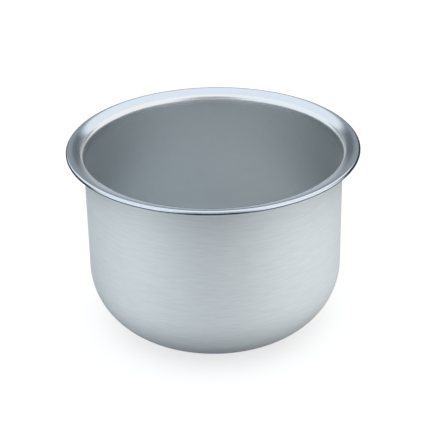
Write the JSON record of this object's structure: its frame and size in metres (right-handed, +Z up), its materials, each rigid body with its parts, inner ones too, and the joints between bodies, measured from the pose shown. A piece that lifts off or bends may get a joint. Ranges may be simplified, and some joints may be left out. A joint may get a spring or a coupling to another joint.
{
  "type": "wax warmer pot",
  "caption": "Deep round steel pot with a flat base, rounded corner, straight wall and a flared, curled rim, which drops into a wax warmer and holds the melted wax.",
  "frame": {"origin": "centre of the flat base, on the surface that the pot stands on", "axes": "+Z up along the axis that the pot is turned about, out of its mouth; the pot is round, so +X and +Y are free, and the picture looks along +Y"},
  "size_m": [0.125, 0.125, 0.0833],
  "materials": {
    "stainless": "satin, with a polished rim"
  },
  "bodies": {
    "root": {"pot_shell": "stainless"}
  },
  "joints": []
}
